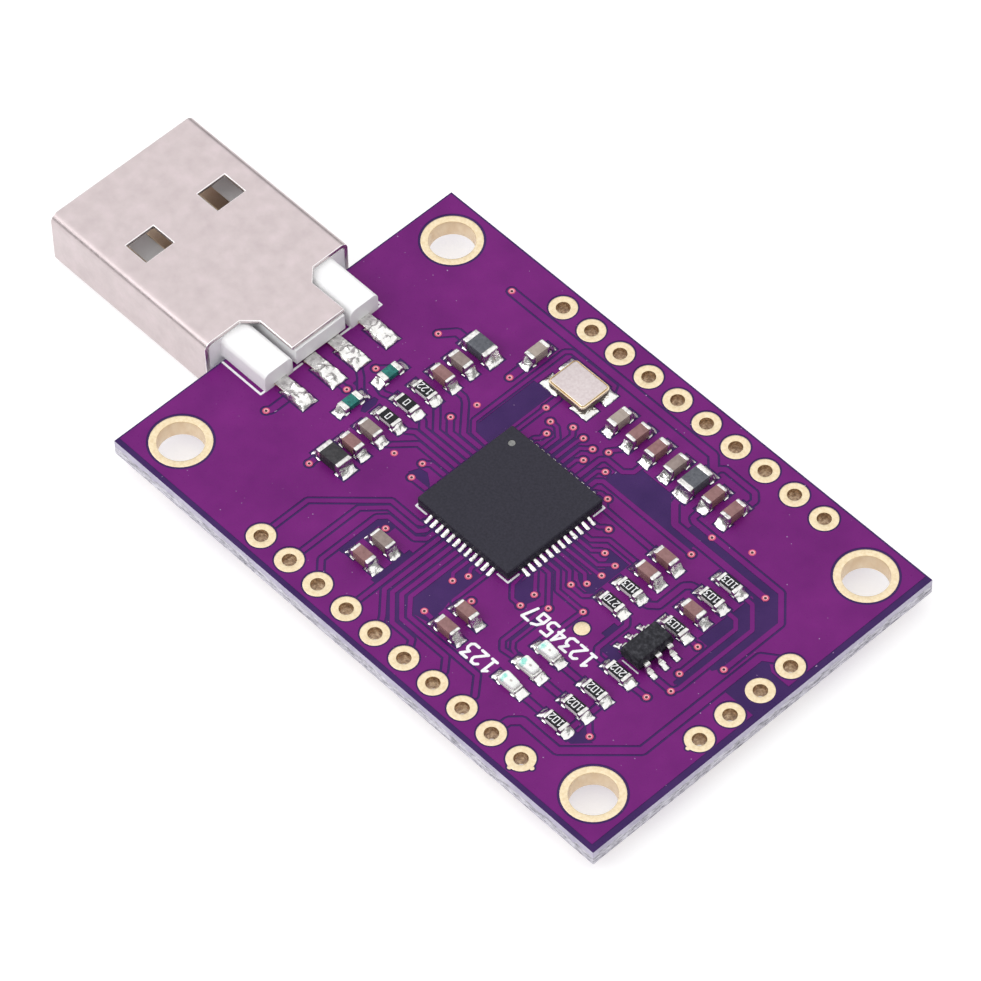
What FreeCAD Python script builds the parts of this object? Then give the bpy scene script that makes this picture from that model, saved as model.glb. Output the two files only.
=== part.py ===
import FreeCAD, Part
import os

from FreeCAD import Vector

# A USB to serial adapter: one bare circuit board with a USB plug on its edge.
# Millimetres. X runs along the board from the plug to the end row of holes,
# Y runs across it, and Z is up. The origin is on the underside of the board,
# at the centre of the four mounting holes.

# Board
board_length = 42.3
board_width = 28.4
board_thickness = 1.2

# Plated holes, placed from the edges of the board and from one another
mount_edge_left = 2.9
mount_edge_right = 2.98
mount_edge_front = 2.9
mount_edge_back = 2.66
mount_bore = 3.0
mount_pad = 4.0
header_pitch = 2.54
header_edge_front = 1.59
header_edge_back = 1.41
header_gap_left = 8.765
header_gap_right = 4.795
header_bore = 0.95
end_row_edge = 1.43
end_row_count = 4
plating_rise = 0.04
barrel_wall = 0.15

# The plug, the controller and the end row share one line along the board
centre_line_y = -0.38

# Copper lands under the chips, with their solder
land_thickness = 0.05
land_reach = 0.52
land_under = 0.36
solder_share = 0.62

# USB plug shell, folded from sheet
shell_width = 12.0
shell_height = 4.5
shell_wall = 0.3
shell_fold = 0.6
shell_above_board = 2.0
shell_overhang = 14.9
shell_board_gap = 0.38
tongue_length = 3.85
tongue_width = 4.4
notch_chamfer = 0.9
window_length = 1.9
window_width = 2.3
window_spacing = 6.0
window_setback = 5.1
seam_gap = 0.06
seam_lock_length = 1.6
seam_lock_width = 1.2

# Plastic inside the plug
plastic_gap = 0.03
core_length = 4.0
blade_setback = 0.5
blade_lead_in = 0.4
mating_gap = 1.95
post_inner = 2.45
post_outer = 4.75
post_reach = 4.1
post_drop = 0.1
post_round = 0.45
bridge_width = 4.1
bridge_reach = 4.0
bridge_lift = 0.35

# Spring contacts of the plug
contact_width = 1.0
contact_thickness = 0.25
contact_outer_offset = 3.5
contact_inner_offset = 1.0
contact_inner_setback = 1.0
contact_front_setback = 0.5
contact_proud = 0.08
contact_ramp = 0.9
tail_length = 2.3
tail_land_width = 1.15
tail_land_extra = 0.4

# Controller, a square package with leads on four sides
controller_size = 8.0
controller_height = 0.85
controller_x = -0.5
controller_lead_count = 12
controller_lead_pitch = 0.5
controller_lead_width = 0.27
controller_lead_length = 0.45
controller_lead_height = 0.2
controller_land_reach = 0.58
controller_heat_pad = 5.6
controller_edge = 0.08
pin_mark_size = 0.5
pin_mark_inset = 1.0
pin_mark_depth = 0.05

# Small memory chip with six bent leads
memory_length = 2.95
memory_width = 1.7
memory_height = 1.1
memory_stand_off = 0.1
memory_draft = 0.12
memory_lead_pitch = 0.95
memory_lead_width = 0.42
memory_lead_thickness = 0.15
memory_lead_span = 2.8
memory_foot = 0.4
memory_land_reach = 0.4

# Crystal in a flat ceramic case with a metal lid
crystal_length = 3.2
crystal_width = 2.5
crystal_base_height = 0.45
crystal_lid_height = 0.18
crystal_lid_inset = 0.16
crystal_corner = 0.3
crystal_land_x = 1.5
crystal_land_y = 1.15
crystal_land_reach = 0.5

# Two sizes of chip: length, width, height and width of the plated end
chip_length = 1.6
chip_width = 0.8
chip_band = 0.35
capacitor_height = 0.78
resistor_height = 0.45
suppressor_height = 0.75
bead_length = 2.05
bead_width = 1.2
bead_height = 0.85
bead_band = 0.45
band_rise = 0.02
chip_edge = 0.06
chip_seam = 0.02

# Indicator lamps on the same footprint
lamp_base_height = 0.3
lamp_lens_height = 0.42
lamp_lens_length = 1.05
lamp_lens_draft = 0.08

# Places of the chips: the back row keeps its gap to the back header, the low rows
# keep theirs to the front header, and the left column keeps its gap to the plug
back_row_gap = 3.84
back_row_x = -0.45
back_row_pitch = 1.65
crystal_step_x = 3.63
crystal_step_y = 0.05
lone_chip_step = 3.67
lamp_row_gap = 6.4
lamp_pitch = 1.6
low_left_x = -3.73
low_right_x = 3.67
outer_low_step = 1.95
memory_step = 2.38
memory_top_step = 2.378
column_pitch = 1.524
left_column_top_y = 4.93
left_bead_top_step = 1.67
left_bead_low_step = 1.49
inner_column_x = 9.12
inner_column_top_y = 3.47
outer_column_x = 13.07
suppressor_step = 2.04
suppressor_top_y = 1.3
suppressor_pitch = 3.3
left_column_step = 2.55

# Values that follow from the ones above
mount_span_x = board_length - mount_edge_left - mount_edge_right
mount_span_y = board_width - mount_edge_front - mount_edge_back
board_left = -mount_span_x / 2 - mount_edge_left
board_front = -mount_span_y / 2 - mount_edge_front
board_right = board_left + board_length
board_back = board_front + board_width
land_top = board_thickness + land_thickness
shell_top = board_thickness + shell_above_board
shell_bottom = shell_top - shell_height
shell_rear = board_left - shell_board_gap
shell_front = board_left - shell_overhang
blade_top = shell_top - shell_wall - mating_gap
core_front = shell_rear - core_length
header_start_x = header_gap_left - mount_span_x / 2
header_room = mount_span_x - header_gap_left - header_gap_right
header_count = 1 + round(header_room / header_pitch)
header_front_y = board_front + header_edge_front
header_back_y = board_back - header_edge_back
end_row_x = board_right - end_row_edge
end_row_start_y = centre_line_y - header_pitch * (end_row_count - 1) / 2
mount_corners = [(sx * mount_span_x / 2, sy * mount_span_y / 2)
                 for sx in (-1, 1) for sy in (-1, 1)]
header_places = [(header_start_x + n * header_pitch, row_y)
                 for row_y in (header_front_y, header_back_y) for n in range(header_count)]
header_places += [(end_row_x, end_row_start_y + n * header_pitch)
                  for n in range(end_row_count)]
tail_end = shell_rear + post_reach + tail_length
suppressor_x = tail_end + suppressor_step
left_column_x = suppressor_x + left_column_step
back_row_y = header_back_y - back_row_gap
crystal_x = back_row_x - crystal_step_x
crystal_y = back_row_y + crystal_step_y
lone_chip_x = crystal_x - lone_chip_step
lamp_row_y = header_front_y + lamp_row_gap
low_row_y = lamp_row_y - lamp_pitch
outer_low_y = lamp_row_y + outer_low_step
memory_x = outer_column_x
memory_y = outer_low_y + memory_step
outer_column_top_y = memory_y + memory_top_step + 3 * column_pitch

pieces = {}
solder = []


def block(x0, x1, y0, y1, z0, z1):
    """Box between two corners."""
    return Part.makeBox(x1 - x0, y1 - y0, z1 - z0, Vector(x0, y0, z0))


def centred_block(cx, cy, length, width, z0, z1):
    """Box centred on a point of the board."""
    return block(cx - length / 2, cx + length / 2, cy - width / 2, cy + width / 2, z0, z1)


def side_profile(points, y0, y1):
    """Outline in X and Z, pulled out along Y."""
    wire = Part.makePolygon([Vector(x, y0, z) for x, z in points + points[:1]])
    return Part.Face(wire).extrude(Vector(0, y1 - y0, 0))


def plan_profile(points, z0, z1):
    """Outline in X and Y, pulled up along Z."""
    wire = Part.makePolygon([Vector(x, y, z0) for x, y in points + points[:1]])
    return Part.Face(wire).extrude(Vector(0, 0, z1 - z0))


def edges_along(shape, axis, pick=None):
    """Straight edges along an axis, all of them or the ones that pick accepts."""
    found = []
    for edge in shape.Edges:
        ends = [v.Point for v in edge.Vertexes]
        if len(ends) == 2 and abs((ends[1] - ends[0]).normalize().dot(axis)) > 0.999:
            if pick is None or pick(edge.CenterOfMass):
                found.append(edge)
    return found


def rounded_block(x0, x1, y0, y1, z0, z1, radius, axis):
    """Box with its four edges along one axis rounded."""
    shape = block(x0, x1, y0, y1, z0, z1)
    return shape.makeFillet(radius, edges_along(shape, axis))


def placed(shape, x, y, z=0.0, turn=0.0):
    """Copy of a shape turned about Z and set on the board."""
    copy = shape.copy()
    copy.rotate(Vector(0, 0, 0), Vector(0, 0, 1), turn)
    copy.translate(Vector(x, y, z))
    return copy


# Circuit board with its bores
board = block(board_left, board_right, board_front, board_back, 0, board_thickness)
bores = [Part.makeCylinder(mount_bore / 2 + barrel_wall, board_thickness, Vector(x, y, 0))
         for x, y in mount_corners]
bores += [Part.makeCylinder(header_bore / 2, board_thickness, Vector(x, y, 0))
          for x, y in header_places]
pieces["circuit_board"] = board.cut(Part.makeCompound(bores))


# Each mounting hole is lined by a plated eyelet with a pad on both faces
def eyelet(bore, pad):
    top = board_thickness + plating_rise
    outline = [(bore / 2, -plating_rise), (pad / 2, -plating_rise), (pad / 2, 0),
               (bore / 2 + barrel_wall, 0), (bore / 2 + barrel_wall, board_thickness),
               (pad / 2, board_thickness), (pad / 2, top), (bore / 2, top)]
    wire = Part.makePolygon([Vector(r, 0, z) for r, z in outline + outline[:1]])
    return Part.Face(wire).revolve(Vector(0, 0, 0), Vector(0, 0, 1), 360)


mount_eyelet = eyelet(mount_bore, mount_pad)
pieces["mounting_plating"] = Part.makeCompound(
    [placed(mount_eyelet, x, y) for x, y in mount_corners])

# USB plug shell: a folded sheet with a tongue behind it that covers the plastic
shell_y0 = centre_line_y - shell_width / 2
shell_y1 = centre_line_y + shell_width / 2
tongue_rear = shell_rear + tongue_length
along_x = Vector(1, 0, 0)
shell = rounded_block(shell_front, tongue_rear, shell_y0, shell_y1,
                      shell_bottom, shell_top, shell_fold, along_x)
hollow = rounded_block(shell_front, tongue_rear, shell_y0 + shell_wall, shell_y1 - shell_wall,
                       shell_bottom + shell_wall, shell_top - shell_wall,
                       shell_fold - shell_wall, along_x)
shell = shell.cut(hollow)
half_tongue = tongue_width / 2
tongue_outline = [(shell_rear, -half_tongue - notch_chamfer),
                  (shell_rear + notch_chamfer, -half_tongue),
                  (tongue_rear, -half_tongue),
                  (tongue_rear, half_tongue),
                  (shell_rear + notch_chamfer, half_tongue),
                  (shell_rear, half_tongue + notch_chamfer)]
tongue_keep = plan_profile([(x, centre_line_y + y) for x, y in tongue_outline],
                           shell_top - shell_wall, shell_top)
behind = block(shell_rear, tongue_rear, shell_y0, shell_y1, shell_bottom, shell_top)
shell = shell.cut(behind.cut(tongue_keep))

# Four latch windows, two above and two below
window_x = shell_front + window_setback
for side in (-1, 1):
    window_y = centre_line_y + side * window_spacing / 2
    for z0 in (shell_bottom, shell_top - shell_wall):
        shell = shell.cut(block(window_x, window_x + window_length,
                                window_y - window_width / 2, window_y + window_width / 2,
                                z0, z0 + shell_wall))

# Butt seam under the shell with one dovetail lock
lock_x = (shell_front + shell_rear) / 2
half_lock = seam_lock_length / 2
seam_side = [(shell_front, 0), (lock_x - half_lock / 2, 0), (lock_x - half_lock, seam_lock_width),
             (lock_x + half_lock, seam_lock_width), (lock_x + half_lock / 2, 0), (shell_rear, 0)]
seam_outline = [(x, centre_line_y + y) for x, y in seam_side]
seam_outline += [(x, centre_line_y + y - seam_gap) for x, y in reversed(seam_side)]
seam = plan_profile(seam_outline, shell_bottom, shell_bottom + shell_wall)
pieces["usb_shell"] = shell.cut(seam)

# Plastic carrier: a core in the shell, a blade under the contacts and three feet on the board
inner_gap = shell_wall + plastic_gap
core_y0 = shell_y0 + inner_gap
core_y1 = shell_y1 - inner_gap
core_z0 = shell_bottom + inner_gap
core_z1 = shell_top - inner_gap
core = rounded_block(core_front, shell_rear, core_y0, core_y1, core_z0, core_z1,
                     shell_fold - shell_wall, along_x)
blade_front = shell_front + blade_setback
blade_outline = [(core_front, core_z0), (core_front, blade_top),
                 (blade_front + blade_lead_in, blade_top),
                 (blade_front, blade_top - blade_lead_in), (blade_front, core_z0)]
blade = side_profile(blade_outline, core_y0, core_y1)
blade = blade.makeFillet(shell_fold - shell_wall,
                         edges_along(blade, along_x, lambda p: p.z < core_z0 + plastic_gap))
plastic = core.fuse(blade)
post_top = shell_top - shell_wall - post_drop
for side in (-1, 1):
    near = centre_line_y + side * post_inner
    far = centre_line_y + side * post_outer
    post = block(shell_rear, shell_rear + post_reach, min(near, far), max(near, far),
                 board_thickness, post_top)
    post_edges = edges_along(post, along_x, lambda p: p.z > post_top - post_drop / 2)
    plastic = plastic.fuse(post.makeFillet(post_round, post_edges))
bridge = centred_block(shell_rear + bridge_reach / 2, centre_line_y, bridge_reach, bridge_width,
                       board_thickness + bridge_lift, shell_top - inner_gap)
plastic = plastic.fuse(bridge).removeSplitter()

# Contacts: a flat strip on the blade, a ramp through the core and a tail on the board
contact_offsets = [-contact_outer_offset, -contact_inner_offset,
                   contact_inner_offset, contact_outer_offset]
strip_top = blade_top + contact_proud
ramp_end = shell_rear - plastic_gap
for number, offset in enumerate(contact_offsets, start=1):
    setback = contact_front_setback + blade_setback + blade_lead_in
    if abs(offset) == contact_inner_offset:
        setback += contact_inner_setback
    start_x = shell_front + setback
    low = [(start_x, strip_top - contact_thickness),
           (ramp_end - contact_ramp, strip_top - contact_thickness),
           (ramp_end, land_top), (tail_end, land_top)]
    high = [(tail_end, land_top + contact_thickness), (ramp_end, land_top + contact_thickness),
            (ramp_end - contact_ramp, strip_top), (start_x + contact_thickness, strip_top)]
    contact_y = centre_line_y + offset
    contact = side_profile(low + high, contact_y - contact_width / 2, contact_y + contact_width / 2)
    plastic = plastic.cut(contact)
    pieces[f"usb_contact_{number}"] = contact
    land_x0 = shell_rear + post_reach + plastic_gap
    solder.append(centred_block((land_x0 + tail_end) / 2, contact_y, tail_end - land_x0,
                                tail_land_width, board_thickness, land_top))
    heel = [(tail_end, board_thickness), (tail_end + tail_land_extra, board_thickness),
            (tail_end + tail_land_extra, land_top), (tail_end, land_top + contact_thickness)]
    solder.append(side_profile(heel, contact_y - tail_land_width / 2,
                               contact_y + tail_land_width / 2))
pieces["usb_insulator"] = plastic


# Controller: a square case on a ring of leads round a heat pad
half_controller = controller_size / 2
lead_top = land_top + controller_lead_height
case_top = land_top + controller_height
case = centred_block(controller_x, centre_line_y, controller_size, controller_size,
                     lead_top, case_top)
case = case.makeChamfer(controller_edge, [e for e in case.Edges if e.CenterOfMass.z > lead_top])
case_foot = controller_size - 2 * (controller_lead_length + plastic_gap)
case = case.fuse(centred_block(controller_x, centre_line_y, case_foot, case_foot,
                               land_top, lead_top))
pin_mark = Part.makeCylinder(
    pin_mark_size / 2, pin_mark_depth,
    Vector(controller_x - half_controller + pin_mark_inset,
           centre_line_y + half_controller - pin_mark_inset, case_top - pin_mark_depth))
pieces["controller_case"] = case.cut(pin_mark)
lead_outline = [(-controller_lead_length, land_top), (0, land_top), (0, lead_top),
                (-controller_lead_length, lead_top)]
controller_land = [(-controller_lead_length, board_thickness),
                   (controller_land_reach, board_thickness), (controller_land_reach, land_top),
                   (0, land_top + controller_lead_height / 2), (0, land_top),
                   (-controller_lead_length, land_top)]
half_lead = controller_lead_width / 2
one_lead = side_profile(lead_outline, -half_lead, half_lead)
one_land = side_profile(controller_land, -half_lead, half_lead)
controller_leads = []
for turn in range(4):
    for n in range(controller_lead_count):
        along = (n - (controller_lead_count - 1) / 2) * controller_lead_pitch
        for shape, group in ((one_lead, controller_leads), (one_land, solder)):
            item = placed(shape, half_controller, along)
            group.append(placed(item, controller_x, centre_line_y, turn=90 * turn))
solder.append(centred_block(controller_x, centre_line_y, controller_heat_pad,
                            controller_heat_pad, board_thickness, land_top))
pieces["controller_leads"] = Part.makeCompound(controller_leads)

# Memory chip: a moulded case with draft and six gull wing leads
memory_base = land_top + memory_stand_off
memory_mid = memory_base + memory_height / 2
memory_levels = [(memory_base, memory_draft), (memory_mid, 0),
                 (memory_base + memory_height, memory_draft)]
memory_wires = []
for z, inset in memory_levels:
    half_x = memory_width / 2 - inset
    half_y = memory_length / 2 - inset
    corners = [(-half_x, -half_y), (half_x, -half_y), (half_x, half_y), (-half_x, half_y)]
    memory_wires.append(Part.makePolygon(
        [Vector(memory_x + x, memory_y + y, z) for x, y in corners + corners[:1]]))
pieces["memory_case"] = Part.makeLoft(memory_wires, True, True)
body_side = memory_width / 2
toe = memory_lead_span / 2
knee = toe - memory_foot
wing_low = memory_mid - memory_lead_thickness / 2
wing_high = memory_mid + memory_lead_thickness / 2
wing = [(body_side, wing_low), (knee - memory_lead_thickness, wing_low),
        (knee - memory_lead_thickness, land_top), (toe, land_top),
        (toe, land_top + memory_lead_thickness), (knee, land_top + memory_lead_thickness),
        (knee, wing_high), (body_side, wing_high)]
wing_land = [(body_side, board_thickness), (toe + memory_land_reach, board_thickness),
             (toe + memory_land_reach, land_top), (toe, land_top + memory_lead_thickness),
             (toe, land_top), (body_side, land_top)]
wing_lead = side_profile(wing, -memory_lead_width / 2, memory_lead_width / 2)
wing_solder = side_profile(wing_land, -memory_lead_width / 2, memory_lead_width / 2)
memory_leads = []
for turn in (0, 180):
    for n in (-1, 0, 1):
        step = n * memory_lead_pitch
        memory_leads.append(placed(placed(wing_lead, 0, step), memory_x, memory_y, turn=turn))
        solder.append(placed(placed(wing_solder, 0, step), memory_x, memory_y, turn=turn))
pieces["memory_leads"] = Part.makeCompound(memory_leads)

# Crystal: a ceramic tray with a rounded metal lid, soldered at its four corners
tray_top = land_top + crystal_base_height
pieces["crystal_base"] = centred_block(crystal_x, crystal_y, crystal_length, crystal_width,
                                       land_top, tray_top)
lid = centred_block(crystal_x, crystal_y, crystal_length - 2 * crystal_lid_inset,
                    crystal_width - 2 * crystal_lid_inset, tray_top,
                    tray_top + crystal_lid_height)
pieces["crystal_lid"] = lid.makeFillet(crystal_corner, edges_along(lid, Vector(0, 0, 1)))
for sx in (-1, 1):
    for sy in (-1, 1):
        corner_x = crystal_x + sx * (crystal_length / 2 + crystal_land_reach)
        corner_y = crystal_y + sy * (crystal_width / 2 + plastic_gap)
        inner_x = corner_x - sx * crystal_land_x
        inner_y = corner_y - sy * crystal_land_y
        solder.append(block(min(corner_x, inner_x), max(corner_x, inner_x),
                            min(corner_y, inner_y), max(corner_y, inner_y),
                            board_thickness, land_top))


# Chips: a ceramic block with two plated ends that stand a little proud of it
def chip(length, width, height, band):
    middle = centred_block(0, 0, length - 2 * band, width - 2 * band_rise,
                           land_top + band_rise, land_top + height - band_rise)
    for side in (-1, 1):
        end = centred_block(side * (length - band) / 2, 0, band, width,
                            land_top, land_top + height)
        outer = [e for e in end.Edges if abs(e.CenterOfMass.x) > length / 2 - band / 4]
        middle = middle.fuse(end.makeChamfer(chip_edge, outer))
    return middle


def land_pair(length, width, height):
    """Land and solder at both ends of a chip."""
    half = length / 2
    rise = land_top + height * solder_share
    outline = [(half - land_under, board_thickness), (half + land_reach, board_thickness),
               (half + land_reach, land_top), (half + chip_seam, rise),
               (half + chip_seam, land_top), (half - land_under, land_top)]
    one = side_profile(outline, -width / 2, width / 2)
    return [one, placed(one, 0, 0, turn=180)]


capacitor = chip(chip_length, chip_width, capacitor_height, chip_band)
resistor = chip(chip_length, chip_width, resistor_height, chip_band)
suppressor = chip(chip_length, chip_width, suppressor_height, chip_band)
bead = chip(bead_length, bead_width, bead_height, bead_band)

lamp_top = land_top + lamp_base_height + lamp_lens_height
half_lens = lamp_lens_length / 2
lens = side_profile([(-half_lens, land_top + lamp_base_height),
                     (half_lens, land_top + lamp_base_height),
                     (half_lens - lamp_lens_draft, lamp_top),
                     (lamp_lens_draft - half_lens, lamp_top)],
                    -chip_width / 2, chip_width / 2)
lamp = centred_block(0, 0, chip_length, chip_width, land_top, land_top + lamp_base_height)
lamp = lamp.fuse(lens)

capacitor_lands = land_pair(chip_length, chip_width, capacitor_height)
resistor_lands = land_pair(chip_length, chip_width, resistor_height)
suppressor_lands = land_pair(chip_length, chip_width, suppressor_height)
lamp_lands = land_pair(chip_length, chip_width, lamp_base_height)
bead_lands = land_pair(bead_length, bead_width, bead_height)


def set_chips(name, shape, lands, places, digits):
    """One node for each place, with its lands added to the solder."""
    for number, (x, y, turn) in enumerate(places, start=1):
        pieces[f"{name}_{number:0{digits}d}"] = placed(shape, x, y, turn=turn)
        for land in lands:
            solder.append(placed(land, x, y, turn=turn))


def column(x, top_y, pitch, steps):
    """Places of level chips down a column."""
    return [(x, top_y - pitch * n, 0) for n in steps]


left_last_y = left_column_top_y - 6 * column_pitch
capacitor_places = [(lone_chip_x, back_row_y, 90)]
capacitor_places += [(back_row_x + back_row_pitch * n, back_row_y, 90) for n in (0, 1, 2, 3, 5, 6)]
capacitor_places += column(left_column_x, left_column_top_y, column_pitch, (0, 1, 5, 6))
capacitor_places += column(inner_column_x, inner_column_top_y, column_pitch, (0, 1))
capacitor_places += column(outer_column_x, outer_column_top_y, column_pitch, (2,))
capacitor_places += column(low_left_x, low_row_y, lamp_pitch, (0, 1))
capacitor_places += column(low_right_x, low_row_y, lamp_pitch, (0, 1))
resistor_places = column(left_column_x, left_column_top_y, column_pitch, (2, 3, 4))
resistor_places += column(inner_column_x, inner_column_top_y, column_pitch, (2, 3))
resistor_places += column(outer_column_x, outer_column_top_y, column_pitch, (0, 1, 3))
resistor_places += column(outer_column_x, outer_low_y, lamp_pitch, (0,))
resistor_places += column(outer_column_x, lamp_row_y, lamp_pitch, (0, 1, 2))
bead_places = [(left_column_x, left_column_top_y + left_bead_top_step, 0),
               (left_column_x, left_last_y - left_bead_low_step, 0),
               (back_row_x + back_row_pitch * 4, back_row_y, 90)]
suppressor_places = [(suppressor_x, suppressor_top_y - suppressor_pitch * n, 90) for n in (0, 1)]
lamp_places = column(inner_column_x, lamp_row_y, lamp_pitch, (0, 1, 2))

set_chips("capacitor", capacitor, capacitor_lands, capacitor_places, 2)
set_chips("resistor", resistor, resistor_lands, resistor_places, 2)
set_chips("bead", bead, bead_lands, bead_places, 1)
set_chips("suppressor", suppressor, suppressor_lands, suppressor_places, 1)
set_chips("lamp", lamp, lamp_lands, lamp_places, 1)

pieces["solder_joints"] = Part.makeCompound(solder)

os.makedirs("parts", exist_ok=True)
for name, shape in pieces.items():
    shape.exportStep(f"parts/{name}.step")
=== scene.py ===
import random
from math import atan2, cos, pi, radians, sin, tau

import bmesh
import bpy
from mathutils import Matrix, Vector
from mathutils.noise import noise as noise_at
from mathutils.geometry import delaunay_2d_cdt


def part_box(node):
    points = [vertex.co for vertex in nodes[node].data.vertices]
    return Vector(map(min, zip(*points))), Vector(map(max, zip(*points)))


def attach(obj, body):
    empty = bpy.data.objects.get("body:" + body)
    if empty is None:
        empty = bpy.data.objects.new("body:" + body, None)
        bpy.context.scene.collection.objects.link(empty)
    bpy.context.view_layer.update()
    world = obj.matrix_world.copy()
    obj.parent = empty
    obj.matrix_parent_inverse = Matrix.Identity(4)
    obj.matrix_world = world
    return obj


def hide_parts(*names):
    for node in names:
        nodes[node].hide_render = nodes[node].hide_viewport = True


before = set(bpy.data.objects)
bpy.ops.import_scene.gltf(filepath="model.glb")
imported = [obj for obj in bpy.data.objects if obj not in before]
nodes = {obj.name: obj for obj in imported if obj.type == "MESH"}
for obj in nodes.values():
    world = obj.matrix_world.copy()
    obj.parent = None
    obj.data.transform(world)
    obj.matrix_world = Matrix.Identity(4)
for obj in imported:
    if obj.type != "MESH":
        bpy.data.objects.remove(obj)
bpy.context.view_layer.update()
chance = random.Random(11)

# Lengths in this file are in millimetres in the frame of the part, and MM turns
# them into metres. X runs from the plug to the end row of holes, and Z is up.
MM = 0.001
SHARP = radians(42)

# Heights of the layers on the board
BOARD_TOP = 1.2
LAMINATE_RISE = 0.012
COPPER_RISE = 0.036
INK_RISE = 0.046
PAD_RISE = 0.044
LAND_TOP = 1.25
FLOOR = -1.31

# Board and plated holes
BOARD = (-21.11, 21.19, -14.32, 14.08)
POUR = (-21.0, 20.72, -13.95, 13.95)
MOUNT_HOLES = [(sx * 18.21, sy * 11.42) for sx in (-1, 1) for sy in (-1, 1)]
HEADER_HOLES = [(-9.445 + 2.54 * n, y) for y in (-12.73, 12.67) for n in range(10)]
HEADER_HOLES += [(19.76, -4.19 + 2.54 * n) for n in range(4)]
MOUNT_PAD, MOUNT_BORE = 2.0, 1.5
HEADER_PAD, HEADER_BORE = 0.925, 0.475
TEST_PAD = (9.1, -3.58, 0.5)
PAD_NIBS = [(19.75, -5.13), (14.37, -12.75), (13.4, -13.65)]
NIB_PAD = 0.16
RING_GAP = 0.11

# Vias: the ones in the second list join the copper around them
VIAS = [
    (-12.62, 11.28), (-13.35, 5.67), (-14.03, 1.02), (-14.08, -1.38), (-16.32, -6.07),
    (-11.46, -6.92), (-7.75, 6.47), (-4.49, 6.46), (-3.52, 5.9), (-3.02, 5.1), (-2.22, 6.58),
    (-1.18, 6.45), (-8.05, 1.74), (-0.18, 6.28), (0.03, 5.29), (0.68, 6.8), (1.62, 5.62),
    (3.2, 4.28), (4.9, 2.72), (6.02, 1.32), (7.14, 1.09), (7.1, 0.0), (9.73, 5.0),
    (15.16, 5.9), (14.9, 0.45), (17.17, 0.4), (-6.63, -1.96), (-6.32, -3.16), (-4.58, -6.93),
    (6.92, -1.06), (6.3, -1.8), (8.27, -2.68), (6.63, -4.0), (5.3, -3.9), (5.3, -5.05),
    (1.54, -5.8), (1.12, -6.72), (3.02, -6.95), (1.58, -9.48), (15.55, -1.72), (16.1, -2.97),
    (15.4, -4.32), (15.1, -8.73)]
POUR_VIAS = [(-7.6, 3.55), (12.2, 7.73), (-8.42, -2.65), (9.7, 6.78)]
VIA_RING, VIA_HOLE, VIA_GAP = 0.25, 0.09, 0.15

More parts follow.
